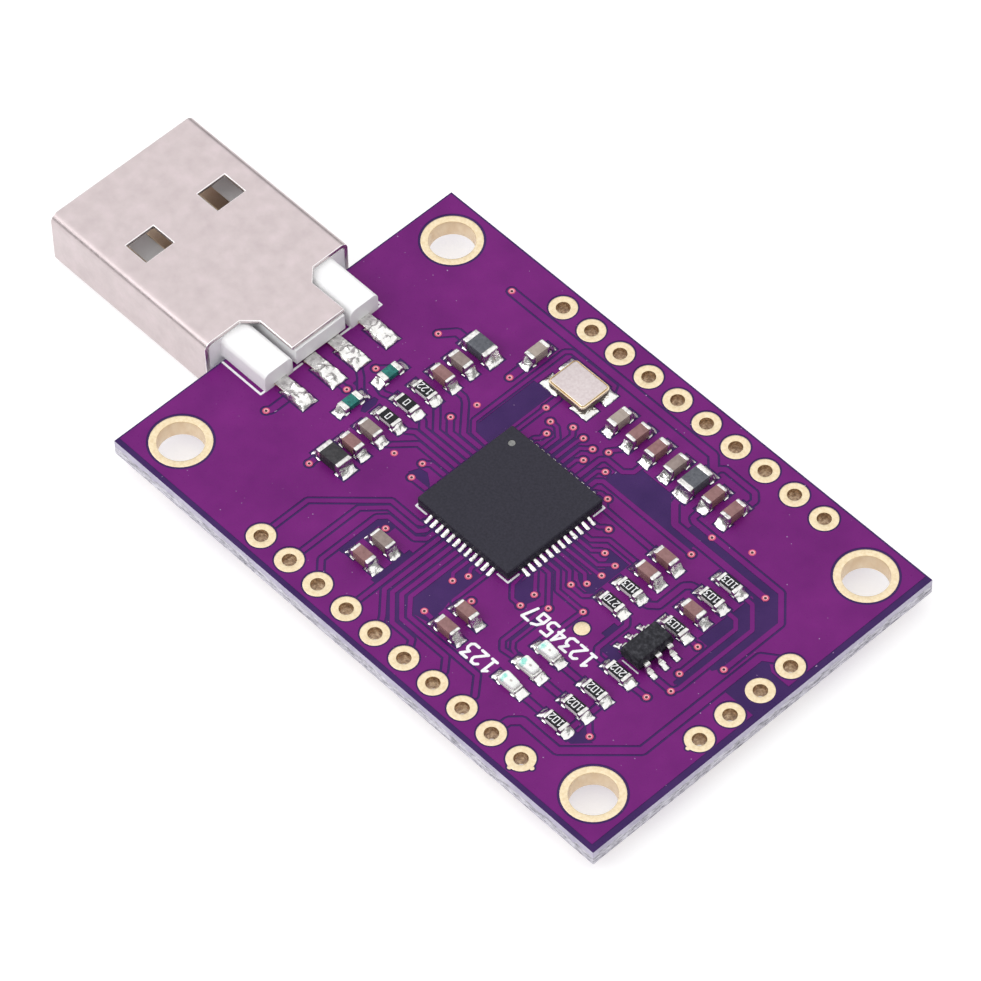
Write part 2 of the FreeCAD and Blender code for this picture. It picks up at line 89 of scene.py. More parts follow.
# Tracks: width, then the corners of the line
TRACKS = [
    (0.5, (-12.62, 11.25), (5.3, 11.25), (6.15, 10.45)),
    (0.35, (6.3, 10.3), (6.3, 10.75), (6.6, 11.02), (9.1, 11.02), (9.55, 10.6), (9.55, 10.0)),
    (0.5, (-13.35, 5.67), (-12.6, 6.6), (-11.9, 6.6)),
    (0.45, (-16.15, -4.4), (-16.15, -5.8), (-16.32, -6.07)),
    (0.25, (-2.4, 10.0), (-2.75, 10.65), (-6.5, 10.65), (-6.85, 10.3), (-6.85, 2.6),
     (-6.2, 1.95), (-4.6, 1.87)),
    (0.22, (-4.49, 6.46), (-4.49, 3.7)),
    (0.4, (-4.49, 6.46), (-4.49, 7.5)),
    (0.5, (-7.75, 6.47), (-7.75, 7.6)),
    (0.22, (-3.02, 5.1), (-3.02, 4.6), (-3.28, 4.3), (-3.28, 3.6)),
    (0.2, (-3.52, 5.9), (-2.95, 5.9), (-2.28, 5.35), (-2.28, 3.6)),
    (0.22, (-2.22, 6.58), (-1.78, 6.1), (-1.78, 3.6)),
    (0.22, (-1.18, 6.45), (-1.28, 6.0), (-1.28, 3.6)),
    (0.22, (-0.18, 6.28), (-0.78, 5.75), (-0.78, 3.6)),
    (0.22, (0.03, 5.29), (-0.28, 4.95), (-0.28, 3.6)),
    (0.25, (0.68, 6.8), (0.68, 7.0), (1.15, 7.6)),
    (0.3, (0.72, 3.6), (0.72, 6.05), (1.0, 6.35), (2.35, 6.35), (2.85, 6.85), (2.85, 7.6)),
    (0.22, (1.22, 3.6), (1.22, 5.3), (1.62, 5.62)),
    (0.3, (1.72, 3.6), (1.72, 4.7), (2.05, 5.03), (9.73, 5.03)),
    (0.22, (2.22, 3.6), (2.22, 4.0), (2.6, 4.28), (3.2, 4.28)),
    (0.45, (6.2, 7.5), (6.3, 6.95), (7.4, 5.87), (15.16, 5.87)),
    (0.35, (7.8, 7.6), (7.85, 7.0), (8.1, 6.85), (15.55, 6.85), (17.17, 5.2), (17.17, 0.4)),
    (0.28, (14.4, 5.0), (14.95, 5.0), (16.3, 3.65), (16.3, -2.5), (16.1, -2.97)),
    (0.28, (14.4, 3.5), (15.05, 3.5), (15.55, 3.0), (15.55, -1.72)),
    (0.3, (14.4, 0.45), (14.9, 0.45)),
    (0.5, (19.76, 3.43), (19.0, 3.3), (18.04, 2.6), (18.0, -7.2), (14.5, -10.8),
     (11.5, -10.8), (10.95, -11.4), (10.9, -12.3)),
    (0.4, (11.8, 3.43), (11.4, 3.35), (11.1, 3.0), (11.1, 0.9), (10.6, 0.45), (10.3, 0.45)),
    (0.3, (10.45, -1.13), (10.8, -1.5), (10.8, -3.9), (11.2, -4.35), (11.9, -4.38)),
    *((0.35, (10.4, y), (11.8, y)) for y in (-6.33, -7.93, -9.53)),
    (0.3, (15.1, -8.73), (14.7, -8.4), (14.2, -7.93)),
    (0.35, (13.9, -6.33), (13.9, -9.53)),
    (0.3, (14.3, -4.38), (15.4, -4.32)),
    (0.3, (14.8, -2.97), (16.1, -2.97)),
    (0.22, (3.8, 2.37), (4.35, 2.4), (4.65, 2.72), (4.9, 2.72)),
    (0.25, (3.8, 1.37), (4.7, 1.37), (5.5, 2.17), (7.9, 2.17)),
    (0.3, (3.3, 3.9), (3.6, 3.62), (7.9, 3.55)),
    (0.22, (3.8, 0.87), (5.3, 0.87), (5.75, 1.32), (6.02, 1.32)),
    (0.22, (3.8, 0.37), (6.35, 0.37), (6.9, 0.95), (7.14, 1.09)),
    (0.22, (3.8, -0.13), (7.1, -0.05)),
    (0.22, (3.8, -0.63), (6.3, -0.63), (6.75, -1.06), (6.92, -1.06)),
    (0.22, (3.8, -1.13), (5.5, -1.13), (6.1, -1.75), (6.3, -1.8)),
    (0.22, (3.8, -1.63), (5.0, -1.63), (6.05, -2.68), (8.27, -2.68)),
    (0.22, (3.8, -2.13), (4.75, -2.13), (6.63, -4.0)),
    (0.22, (3.8, -2.63), (4.1, -2.63), (5.3, -3.85)),
    (0.22, (3.7, -3.13), (3.85, -4.3), (4.6, -5.05), (5.3, -5.05)),
    (0.25, (6.3, -1.85), (7.4, -1.85), (7.9, -1.3)),
    (0.25, (8.27, -2.68), (8.2, -5.2), (8.0, -5.9)),
    (0.25, (6.45, -4.2), (6.45, -7.6), (6.9, -8.05), (7.9, -7.93)),
    (0.2, (6.95, -5.3), (6.95, -7.2), (7.3, -7.6), (7.8, -7.75)),
    (0.3, (-3.28, -4.8), (-3.28, -5.1), (-3.5, -5.25), (-5.85, -5.25), (-9.45, -8.9),
     (-9.45, -11.9)),
    (0.3, (-2.78, -4.8), (-2.78, -5.3), (-3.1, -5.7), (-5.6, -5.7), (-6.85, -7.05),
     (-6.85, -11.9)),
    (0.3, (-2.28, -4.8), (-2.28, -5.7), (-2.8, -6.2), (-5.1, -6.2), (-5.6, -6.75),
     (-5.6, -11.3), (-4.9, -12.0)),
    (0.3, (-1.78, -4.8), (-1.78, -11.9)),
    (0.3, (-1.28, -4.8), (-1.28, -10.1), (0.1, -11.5), (0.5, -12.1)),
    (0.3, (-0.78, -4.8), (-0.78, -9.9), (0.85, -11.45), (2.6, -11.45), (3.0, -12.0)),
    (0.3, (-0.28, -4.8), (-0.28, -9.6), (1.05, -10.85), (4.95, -10.85), (5.7, -11.7)),
    (0.3, (0.22, -4.8), (0.22, -9.35), (1.25, -10.4), (7.2, -10.4), (8.25, -11.6)),
    (0.22, (0.72, -4.8), (0.72, -6.3), (1.12, -6.72)),
    (0.22, (1.22, -4.8), (1.22, -5.3), (1.54, -5.75)),
    (0.22, (2.22, -4.8), (2.22, -7.7), (2.6, -7.95)),
    (0.3, (-4.58, -6.93), (-4.7, -7.6)),
    (0.3, (3.02, -6.95), (2.8, -7.5)),
    (0.3, (1.58, -9.48), (2.4, -9.53)),
    (0.3, (-4.7, 1.42), (-6.55, 1.42), (-8.2, 3.15), (-8.6, 3.4), (-9.3, 3.41)),
    (0.3, (-4.7, 0.9), (-7.2, 0.9), (-8.05, 1.74)),
    (0.3, (-4.7, 0.4), (-7.9, 0.4), (-8.75, 1.25), (-9.3, 1.75)),
    (0.3, (-4.7, -0.1), (-8.6, -0.1), (-9.0, 0.3), (-9.3, 0.36)),
    (0.3, (-4.7, -0.6), (-8.7, -0.6), (-9.2, -1.0)),
    (0.3, (-4.7, -1.1), (-7.9, -1.1), (-9.0, -2.3), (-9.3, -2.6)),
    (0.3, (-4.7, -1.6), (-6.2, -1.6), (-6.63, -1.96)),
    (0.3, (-4.7, -3.1), (-6.32, -3.16)),
    (0.3, (-14.8, 0.3), (-14.2, -0.1), (-13.5, -0.75), (-13.05, -0.9)),
    (0.3, (-13.05, 0.2), (-12.3, 0.0), (-11.8, 0.2)),
    (0.3, (-14.9, -1.4), (-14.08, -1.38)),
    (0.3, (-14.03, 1.02), (-13.3, 1.9)),
    (0.4, (-11.46, -6.92), (-11.5, -6.0))]
TRACK_GAP = 0.15

# Places where the copper sheet stops and the darker laminate shows through the mask
BARE = [
    [(-6.55, 7.4), (-4.95, 7.4), (-4.95, 2.1), (-6.05, 2.1), (-6.55, 2.65)],
    [(1.95, 5.35), (2.3, 5.3), (9.4, 5.3), (9.4, 5.65), (7.3, 5.65), (6.9, 5.95), (5.85, 7.1),
     (5.6, 7.35), (3.15, 7.35), (3.0, 6.8), (2.4, 6.1), (2.05, 6.05)],
    [(8.2, 6.6), (15.4, 6.6), (16.98, 5.05), (16.98, 0.3), (16.75, -0.2), (16.55, -0.2),
     (16.55, 3.7), (15.9, 4.2), (15.2, 5.0), (14.6, 5.4), (10.2, 5.6), (9.8, 5.6), (9.8, 6.2),
     (8.2, 6.2)],
    [(14.5, 3.25), (14.95, 3.25), (15.4, 2.85), (15.4, 0.9), (14.45, 0.9)],
    [(15.7, 3.05), (15.1, 3.7), (14.55, 3.75), (14.55, 4.75), (14.85, 4.75), (16.15, 3.5),
     (16.15, -2.2), (15.9, -2.5), (15.7, -2.4)],
    [(18.4, 2.9), (19.3, 2.3), (20.75, 2.3), (20.75, -0.7), (18.4, -0.7)],
    [(11.0, -3.2), (12.3, -3.2), (12.3, -3.9), (11.2, -3.9), (11.0, -3.7)],
    [(10.15, -1.9), (10.5, -1.9), (10.5, -3.0), (10.15, -3.0)],
    [(14.3, -8.3), (14.9, -8.35), (14.8, -9.0), (15.6, -8.9), (14.7, -9.9), (14.45, -9.9),
     (14.4, -8.9)],
    [(5.9, 1.75), (7.7, 1.75), (7.7, -1.5), (6.9, -1.5), (6.3, -1.2), (6.0, -0.95),
     (6.0, -0.85), (6.6, -0.4), (6.6, 0.15), (6.9, 0.5), (6.5, 0.9), (6.3, 1.6)],
    [(4.05, -3.05), (4.5, -3.3), (5.2, -4.1), (5.7, -4.1), (5.5, -4.7), (4.7, -4.85),
     (4.05, -4.2)],
    [(0.45, -5.2), (2.0, -5.2), (2.05, -7.7), (2.3, -8.6), (2.3, -9.9), (1.3, -10.1),
     (0.45, -9.3)],
    [(-5.3, -7.0), (-5.0, -7.0), (-5.0, -10.1), (-5.35, -10.1)],
    [(-2.4, -7.0), (-2.05, -7.0), (-2.05, -10.2), (-2.4, -10.2)],
    [(-5.4, -6.5), (-4.2, -6.5), (-4.2, -7.1), (-5.4, -7.1)],
    [(-6.5, -2.3), (-5.9, -2.2), (-5.1, -2.75), (-5.0, -3.4), (-6.0, -3.4), (-6.8, -3.0)],
    [(-12.5, -0.55), (-12.15, -0.5), (-11.95, -0.9), (-11.95, -1.8), (-12.25, -1.95),
     (-12.55, -1.4)],
    [(-14.2, -0.1), (-13.75, -0.15), (-13.5, -0.45), (-13.7, -0.8), (-14.2, -0.8)]]

# Tracks on the underside, which run from vias to the rows of holes
UNDER_TRACKS = [
    (0.28, (-7.75, 6.47), (-6.905, 7.4), (-6.905, 12.67)),
    (0.28, (-4.49, 6.46), (-4.365, 6.7), (-4.365, 12.67)),
    (0.28, (-2.22, 6.58), (-1.825, 7.0), (-1.825, 12.67)),
    (0.28, (-0.18, 6.28), (0.715, 7.2), (0.715, 12.67)),
    (0.28, (1.62, 5.62), (3.255, 7.3), (3.255, 12.67)),
    (0.28, (3.2, 4.28), (5.795, 6.9), (5.795, 12.67)),
    (0.28, (9.73, 5.0), (8.335, 6.5), (8.335, 12.67)),
    (0.4, (15.16, 5.9), (13.415, 7.7), (13.415, 12.67)),
    (0.28, (-4.58, -6.93), (-6.905, -9.3), (-6.905, -12.73)),
    (0.28, (1.12, -6.72), (-1.825, -9.7), (-1.825, -12.73)),
    (0.28, (3.02, -6.95), (3.255, -7.2), (3.255, -12.73)),
    (0.28, (1.58, -9.48), (0.715, -10.4), (0.715, -12.73)),
    (0.28, (5.3, -5.05), (5.795, -5.6), (5.795, -12.73)),
    (0.4, (15.1, -8.73), (14.9, -8.73), (10.875, -12.73)),
    (0.28, (15.4, -4.32), (15.55, -4.19), (19.76, -4.19)),
    (0.28, (15.55, -1.72), (15.62, -1.65), (19.76, -1.65)),
    (0.28, (17.17, 0.4), (17.66, 0.89), (19.76, 0.89)),
    (0.28, (14.9, 0.45), (17.88, 3.43), (19.76, 3.43)),
    (0.28, (-14.03, 1.02), (-13.3, 1.74), (-8.05, 1.74)),
    (0.28, (-14.08, -1.38), (-13.5, -1.96), (-6.63, -1.96))]

# Printed lines: width, then the corners of the line
INK = [
    (0.15, (-17.5, 4.65), (-17.5, 3.8)), (0.15, (-17.5, 2.5), (-17.5, 1.25)),
    (0.15, (-17.5, -2.0), (-17.5, -2.95)), (0.15, (-17.5, -4.4), (-17.5, -5.45)),
    (0.15, (-21.0, -5.45), (-17.5, -5.45)), (0.15, (-21.0, 4.7), (-17.5, 4.7)),
    (0.09, (12.5, -3.48), (13.8, -3.48))]
for sx, sy in ((-1, -1), (-1, 1), (1, -1), (1, 1)):
    corner_x, corner_y = -0.5 + sx * 4.05, -0.38 + sy * 4.05
    INK += [(0.13, (corner_x - sx * 0.9, corner_y), (corner_x, corner_y)),
            (0.13, (corner_x, corner_y), (corner_x, corner_y - sy * 0.9))]


# Meshes

def link_mesh(name, bm, materials):
    """Object from a bmesh whose lengths are in millimetres."""
    bmesh.ops.scale(bm, vec=(MM, MM, MM), verts=bm.verts)
    mesh = bpy.data.meshes.new(name)
    bm.to_mesh(mesh)
    bm.free()
    for material in materials:
        mesh.materials.append(material)
    obj = bpy.data.objects.new(name, mesh)
    bpy.context.collection.objects.link(obj)
    return obj


def new_piece(name, bm, materials, node=None, smooth=True):
    """Piece of the body, with the slot of its finish and the CAD node that it stands for."""
    piece = link_mesh(name, bm, materials)
    if smooth:
        piece.data.shade_smooth()
        piece.data.set_sharp_from_angle(angle=SHARP)
    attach(piece, "root")
    if node:
        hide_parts(node)
    return piece


def centre_and_size(node):
    low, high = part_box(node)
    return (low + high) / 2 / MM, (high - low) / MM


def add_rounded_box(bm, low, high, radius, segments=2, index=0, skew=0.0):
    """Box with rounded edges. Skew moves the corners at random by up to that length."""
    size = Vector(high) - Vector(low)
    before = set(bm.faces)
    made = bmesh.ops.create_cube(bm, size=1)
    for v in made["verts"]:
        v.co = Vector((low[i] + (v.co[i] + 0.5) * size[i] for i in range(3)))
        v.co += Vector((chance.uniform(-skew, skew) for _ in range(3)))
    edges = list({e for v in made["verts"] for e in v.link_edges})
    bmesh.ops.bevel(bm, geom=edges, offset=min(radius, min(size) * 0.45), segments=segments,
                    profile=0.5, affect="EDGES", clamp_overlap=True)
    for face in set(bm.faces) - before:
        face.material_index = index


def add_bands(bm, rings, indexes, ends=False):
    """Bands of quads between closed rings of places, with one material index a band."""
    rings = [[bm.verts.new(place) for place in ring] for ring in rings]
    for low, high, index in zip(rings, rings[1:], indexes):
        for n in range(len(low)):
            m = (n + 1) % len(low)
            bm.faces.new((low[n], low[m], high[m], high[n])).material_index = index
    if ends:
        bm.faces.new(rings[0][::-1]).material_index = indexes[0]
        bm.faces.new(rings[-1]).material_index = indexes[-1]


def circle(centre, radius, count):
    return [(centre[0] + radius * cos(tau * n / count),
             centre[1] + radius * sin(tau * n / count)) for n in range(count)]


def add_lathe(bm, centre, profile, count, indexes):
    """Bands round a vertical axis. Profile holds radius and height."""
    add_bands(bm, [[(*place, z) for place in circle(centre, radius, count)]
                   for radius, z in profile], indexes)


def add_slab(bm, low, high, corner, steps, indexes, count=6):
    """Slab with round upright corners. Steps hold how far in the outline lies and its height."""
    rings = []
    for inset, z in steps:
        radius = corner - inset * 0.8
        ring = []
        for quarter, (sx, sy) in enumerate(((1, 1), (-1, 1), (-1, -1), (1, -1))):
            x = (high if sx > 0 else low)[0] - sx * (inset + radius)
            y = (high if sy > 0 else low)[1] - sy * (inset + radius)
            for n in range(count + 1):
                turn = pi / 2 * (quarter + n / count)
                ring.append((x + radius * cos(turn), y + radius * sin(turn), z))
        rings.append(ring)
    add_bands(bm, rings, indexes, ends=True)


def add_ribbon(bm, line, y0, y1, thickness):
    """Strip that follows a line in X and Z, from y0 to y1."""
    rows = []
    for before, point, after in zip(line[:1] + line, line, line[1:] + line[-1:]):
        along = (after - before).normalized()
        side = Vector((-along.y, along.x)) * thickness / 2
        rows.append([(point.x + s * side.x, y, point.y + s * side.y)
                     for s, y in ((-1, y0), (-1, y1), (1, y1), (1, y0))])
    add_bands(bm, rows, [0] * (len(rows) - 1), ends=True)


def rounded_line(points, radius, steps):
    """Line with each inner corner replaced by an arc."""
    line = [Vector(points[0])]
    for a, b, c in zip(points, points[1:], points[2:]):
        a, b, c = Vector(a), Vector(b), Vector(c)
        reach = min(radius, (b - a).length * 0.45, (c - b).length * 0.45)
        start, end = b + (a - b).normalized() * reach, b + (c - b).normalized() * reach
        for n in range(steps + 1):
            t = n / steps
            line.append(start * (1 - t) ** 2 + b * 2 * t * (1 - t) + end * t * t)
    return line + [Vector(points[-1])]


def softened(name, node, radius, materials, segments=2):
    """Copy of a CAD node with its sharp edges rolled over, in the last of its materials."""
    bm = bmesh.new()
    bm.from_mesh(nodes[node].data)
    bmesh.ops.scale(bm, vec=(1 / MM, 1 / MM, 1 / MM), verts=bm.verts)
    bmesh.ops.remove_doubles(bm, verts=bm.verts, dist=0.0005)
    bmesh.ops.dissolve_limit(bm, angle_limit=radians(1), verts=bm.verts, edges=bm.edges)
    sharp = [e for e in bm.edges if len(e.link_faces) == 2 and e.calc_face_angle(0) > 0.6]
    rolled = bmesh.ops.bevel(bm, geom=sharp, offset=radius, segments=segments, profile=0.5,
                             affect="EDGES", clamp_overlap=True)
    for face in rolled["faces"]:
        face.material_index = len(materials) - 1
    piece = new_piece(name, bm, materials, node)
    piece.modifiers.new("even_normals", "WEIGHTED_NORMAL").keep_sharp = True
    return piece


# Materials

def connect(tree, node, inputs):
    """Sets each input to its value, or links it where that is a socket."""
    for name, value in inputs.items():
        if isinstance(value, bpy.types.NodeSocket):
            tree.links.new(value, node.inputs[name])
        else:
            node.inputs[name].default_value = value


def add_node(tree, kind, inputs, **settings):
    node = tree.nodes.new("ShaderNode" + kind)
    for name, value in settings.items():
        setattr(node, name, value)
    connect(tree, node, inputs)
    return node


def graph(name):
    """Material with its tree, its shader, and places in millimetres."""
    material = bpy.data.materials.new(name)
    material.use_nodes = True
    tree = material.node_tree
    place = add_node(tree, "TexCoord", {}).outputs["Object"]
    scaled = add_node(tree, "Mapping", {"Vector": place, "Scale": (1 / MM, 1 / MM, 1 / MM)})
    return material, tree, tree.nodes["Principled BSDF"], scaled.outputs["Vector"]


def noise(tree, place, scale, detail=3.0, stretch=None, rough=0.55):
    """Noise whose scale is in features for each millimetre."""
    if stretch:
        place = add_node(tree, "Mapping", {"Vector": place, "Scale": stretch}).outputs["Vector"]
    return add_node(tree, "TexNoise", {"Vector": place, "Scale": scale, "Detail": detail,
                                       "Roughness": rough}).outputs["Fac"]


def stops(*colours, low=0.3, high=0.7):
    """Stops for a ramp, spread evenly over the middle of a noise."""
    step = (high - low) / (len(colours) - 1)
    return [(low + n * step, colour) for n, colour in enumerate(colours)]


def wide_stops(*colours):
    return stops(*colours, low=0.25, high=0.75)


def ramp(tree, value, colours):
    """Colours or greys along a value. Each stop is a place and a colour."""
    node = add_node(tree, "ValToRGB", {"Fac": value})
    while len(node.color_ramp.elements) < len(colours):
        node.color_ramp.elements.new(0.5)
    for element, (place, colour) in zip(node.color_ramp.elements, colours):
        element.position = place
        element.color = (*colour, 1) if isinstance(colour, tuple) else (colour,) * 3 + (1,)
    return node.outputs["Color"]


def raise_surface(tree, shader, layers):
    """Bump from several layers: value, strength and height in millimetres."""
    normal = {}
    for value, strength, height in layers:
        bump = add_node(tree, "Bump", {"Height": value, "Strength": strength,
                                       "Distance": height * MM, **normal})
        normal = {"Normal": bump.outputs["Normal"]}
    connect(tree, shader, normal)


def blend_colours(tree, factor, first, second):
    return add_node(tree, "Mix", {"Factor": factor, "A": first, "B": second},
                    data_type="RGBA").outputs["Result"]


def uneven(tree, value, waves, amount):
    """Value with some of a noise added to it."""
    return add_node(tree, "Math", {0: waves, 1: amount, 2: value},
                    operation="MULTIPLY_ADD").outputs["Value"]


def surface(name, colours, rough, *bumps, metal=0.0, blotch=3.0, grain=8.0, coat=0.0,
            stretch=None, glow=0.0, shine=0.5):
    """Surface whose colour drifts between stops and whose roughness follows a grain.

    Each bump holds scale, strength and height."""
    material, tree, shader, place = graph(name)
    drift = noise(tree, place, blotch, 4.0, stretch)
    fine = noise(tree, place, grain, 3.0, stretch)
    connect(tree, shader, {
        "Base Color": ramp(tree, drift, colours), "Roughness": ramp(tree, fine, stops(*rough)),
        "Metallic": metal, "Coat Weight": coat, "Coat Roughness": 0.15,
        "Specular IOR Level": shine, "Subsurface Weight": glow,
        "Subsurface Radius": (1, 1, 1), "Subsurface Scale": 0.4 * MM})
    raise_surface(tree, shader, [(noise(tree, place, scale, 3.0, stretch), strength, height)
                                 for scale, strength, height in bumps or [(12.0, 0.4, 0.008)]])
    return material


def sawn_edge(name):
    """Fibreglass edge: smooth and tinted near the top, torn and speckled below."""
    material, tree, shader, place = graph(name)
    smooth = ramp(tree, noise(tree, place, 0.7, 4.0),
                  stops((0.4, 0.365, 0.49), (0.56, 0.525, 0.64)))
    fibres = noise(tree, place, 1.5, 8.0, (1.0, 1.0, 4.5), 0.8)
    torn = ramp(tree, fibres, [(0.4, (0.13, 0.13, 0.15)), (0.47, (0.42, 0.4, 0.46)),
                               (0.58, (0.7, 0.68, 0.75))])
    axes = add_node(tree, "SeparateXYZ", {"Vector": place})
    rise = add_node(tree, "MapRange", {"Value": axes.outputs["Z"], "From Max": BOARD_TOP})
    height = uneven(tree, rise.outputs["Result"], noise(tree, place, 1.5), 0.7)
    split = ramp(tree, height, [(0.9, 1.0), (1.16, 0.0)])
    connect(tree, shader, {"Base Color": blend_colours(tree, split, smooth, torn),
                           "Roughness": ramp(tree, height, [(0.4, 0.9), (1.0, 0.6)])})
    raise_surface(tree, shader, [(fibres, 0.8, 0.06), (noise(tree, place, 14.0), 0.5, 0.02)])
    return material


def milky_lens(name, x, y):
    """Milky resin over a green mark towards the plug and a small grey die."""
    material, tree, shader, place = graph(name)
    milk = ramp(tree, noise(tree, place, 1.6), stops((0.8, 0.82, 0.8), (0.88, 0.89, 0.86)))
    cloud = noise(tree, place, 4.0)
    for (at_x, at_y), (width, depth), wander, dark, light in (
            ((-0.36, -0.14), (0.42, 0.62), 0.9, (0.2, 0.66, 0.56), (0.55, 0.84, 0.78)),
            ((0.13, -0.04), (0.13, 0.1), 0.2, (0.42, 0.38, 0.36), (0.56, 0.52, 0.5))):
        spot = add_node(tree, "Mapping", {
            "Vector": place, "Location": (x + at_x, y + at_y, 0), "Scale": (width, depth, 1e6)},
            vector_type="TEXTURE")
        far = add_node(tree, "VectorMath", {0: spot.outputs["Vector"]}, operation="LENGTH")
        border = uneven(tree, far.outputs["Value"], cloud, wander)
        inside = ramp(tree, border, [(0.7, 1.0), (1.0, 0.0)])
        colour = ramp(tree, cloud, stops(dark, light, low=0.35, high=0.65))
        milk = blend_colours(tree, inside, milk, colour)
    connect(tree, shader, {
        "Base Color": milk, "Roughness": ramp(tree, cloud, stops(0.12, 0.28)),
        "Subsurface Weight": 0.4, "Subsurface Radius": (1, 1, 1),
        "Subsurface Scale": 0.25 * MM})
    raise_surface(tree, shader, [(noise(tree, place, 2.5, 2.0), 0.4, 0.03),
                                 (noise(tree, place, 9.0), 0.3, 0.01)])
    return material


def mask(name, dark, light):
    """Glossy mask with a faint drift of colour and a few specks of dust."""
    material, tree, shader, place = graph(name)
    tint = ramp(tree, noise(tree, place, 0.35, 5.0), stops(dark, light))
    dust = ramp(tree, noise(tree, place, 5.5, 0.0), [(0.85, 0.0), (0.88, 1.0)])
    pale = ramp(tree, noise(tree, place, 2.0), stops((0.26, 0.14, 0.3), (0.4, 0.28, 0.44)))
    haze = ramp(tree, noise(tree, place, 4.0, 4.0), stops(0.24, 0.42))
    connect(tree, shader, {"Base Color": blend_colours(tree, dust, tint, pale),
                           "Roughness": haze, "Specular IOR Level": 0.12})
    raise_surface(tree, shader, [(noise(tree, place, 0.9, 2.0), 0.3, 0.03),
                                 (noise(tree, place, 3.0), 0.3, 0.01),
                                 (noise(tree, place, 14.0), 0.25, 0.004)])
    return material


THIN_METAL, PRESSED_GRAIN = (9.0, 0.3, 0.01), (14.0, 0.5, 0.01)
mask_copper = mask("mask_over_copper", (0.132, 0.0085, 0.142), (0.168, 0.0125, 0.172))
mask_laminate = mask("mask_over_laminate", (0.034, 0.012, 0.084), (0.054, 0.019, 0.112))
via_copper = surface(
    "via_copper", stops((0.5, 0.06, 0.14), (0.66, 0.11, 0.19)), (0.28, 0.4), THIN_METAL,
    metal=0.4)
# The lighter pink band on the slope into each via is a painted highlight
via_rim_painted_highlight = surface(
    "via_rim_painted_highlight", stops((0.72, 0.3, 0.36), (0.86, 0.46, 0.5)), (0.25, 0.4), THIN_METAL, metal=0.4,
    blotch=4.0)
via_hole = surface(
    "via_hole", stops((0.02, 0.006, 0.015), (0.05, 0.012, 0.03)), (0.4, 0.6), THIN_METAL,
    blotch=4.0)
gold = surface(
    "gold_plating", stops((0.75, 0.6, 0.385), (0.82, 0.68, 0.46), (0.88, 0.75, 0.54)),
    (0.26, 0.42), (4.0, 0.4, 0.016), (22.0, 0.4, 0.006), metal=1.0, blotch=5.0, grain=14.0)
gold_wall = surface(
    "gold_in_the_mounting_holes", stops((0.74, 0.57, 0.38), (0.86, 0.72, 0.53)), (0.34, 0.5),
    (3.0, 0.4, 0.02), (14.0, 0.3, 0.008), metal=0.35, blotch=1.6, stretch=(1.0, 1.0, 0.5))
gold_barrel = surface(
    "gold_in_the_holes", stops((0.24, 0.15, 0.08), (0.5, 0.34, 0.2), (0.86, 0.68, 0.44)),
    (0.25, 0.5), (5.0, 0.8, 0.05), (16.0, 0.5, 0.02), metal=0.8, blotch=4.5, grain=10.0)
spring_gold = surface(
    "spring_gold", stops((0.74, 0.6, 0.4), (0.9, 0.8, 0.62)), (0.16, 0.26), (2.0, 0.3, 0.01),
    metal=1.0, blotch=0.7, grain=3.0)
nickel = surface(
    "nickel_sheet", wide_stops((0.55, 0.47, 0.48), (0.6, 0.52, 0.525), (0.655, 0.56, 0.575)),
    (0.28, 0.4), (0.7, 0.2, 0.02), (3.0, 0.25, 0.012), (16.0, 0.25, 0.003), metal=1.0, blotch=0.9,
    grain=4.5)
# Brighter, glossier nickel on the rolled edges of the shell: a painted highlight along the bends
# and the rims of the windows
nickel_painted_highlight = surface(
    "nickel_painted_highlight_edge", stops((0.86, 0.81, 0.81), (0.95, 0.92, 0.92)), (0.16, 0.26),
    (6.0, 0.3, 0.01), metal=1.0, grain=9.0)
tin = surface(
    "tin", stops((0.46, 0.45, 0.44), (0.74, 0.73, 0.71), (0.9, 0.89, 0.87)), (0.12, 0.3),
    (3.0, 0.8, 0.06), (14.0, 0.4, 0.012), metal=1.0, blotch=3.4, grain=9.0)
solder = surface(
    "solder", wide_stops((0.68, 0.67, 0.65), (0.92, 0.91, 0.89)), (0.05, 0.16), (3.0, 0.9, 0.07),
    (10.0, 0.4, 0.02), metal=1.0, blotch=2.0, grain=6.0)
white_plastic = surface(
    "white_plastic", wide_stops((0.86, 0.86, 0.87), 0.93), (0.38, 0.52), (9.0, 0.2, 0.008),
    (0.9, 0.2, 0.02), blotch=0.6, grain=12.0, glow=0.15)
mould_compound = surface(
    "mould_compound", stops((0.022, 0.021, 0.031), (0.033, 0.031, 0.045)), (0.42, 0.58),
    (14.0, 0.5, 0.008), (45.0, 0.35, 0.003), blotch=7.0, grain=16.0, shine=0.16)
memory_compound = surface(
    "memory_compound",
    [(0.3, (0.01, 0.01, 0.013)), (0.5, (0.022, 0.022, 0.028)), (0.72, (0.06, 0.06, 0.07))],
    (0.35, 0.6), (5.0, 0.5, 0.03), (22.0, 0.4, 0.006), blotch=4.0, grain=12.0, shine=0.16)
pin_grey = surface(
    "pin_mark_grey", stops(0.17, (0.27, 0.27, 0.26)), (0.5, 0.7), PRESSED_GRAIN, blotch=6.0,
    shine=0.3)
silk_ink = surface(
    "printed_ink", stops((0.74, 0.74, 0.76), (0.88, 0.88, 0.89)), (0.5, 0.7), blotch=4.0,
    grain=12.0)
fibreglass = sawn_edge("fibreglass_edge")
brown_ceramic = surface(
    "brown_ceramic", wide_stops((0.2, 0.098, 0.095), (0.3, 0.155, 0.155)), (0.36, 0.52),
    shine=0.35)
tan_ceramic = surface(
    "tan_ceramic", wide_stops((0.3, 0.25, 0.215), (0.4, 0.335, 0.29)), (0.38, 0.55))
grey_ceramic = surface(
    "grey_ceramic", wide_stops((0.2, 0.15, 0.135), (0.3, 0.235, 0.215)), (0.38, 0.55))
ferrite = surface(
    "ferrite", stops((0.055, 0.06, 0.075), (0.11, 0.115, 0.135)), (0.35, 0.55), PRESSED_GRAIN,
    blotch=5.0)
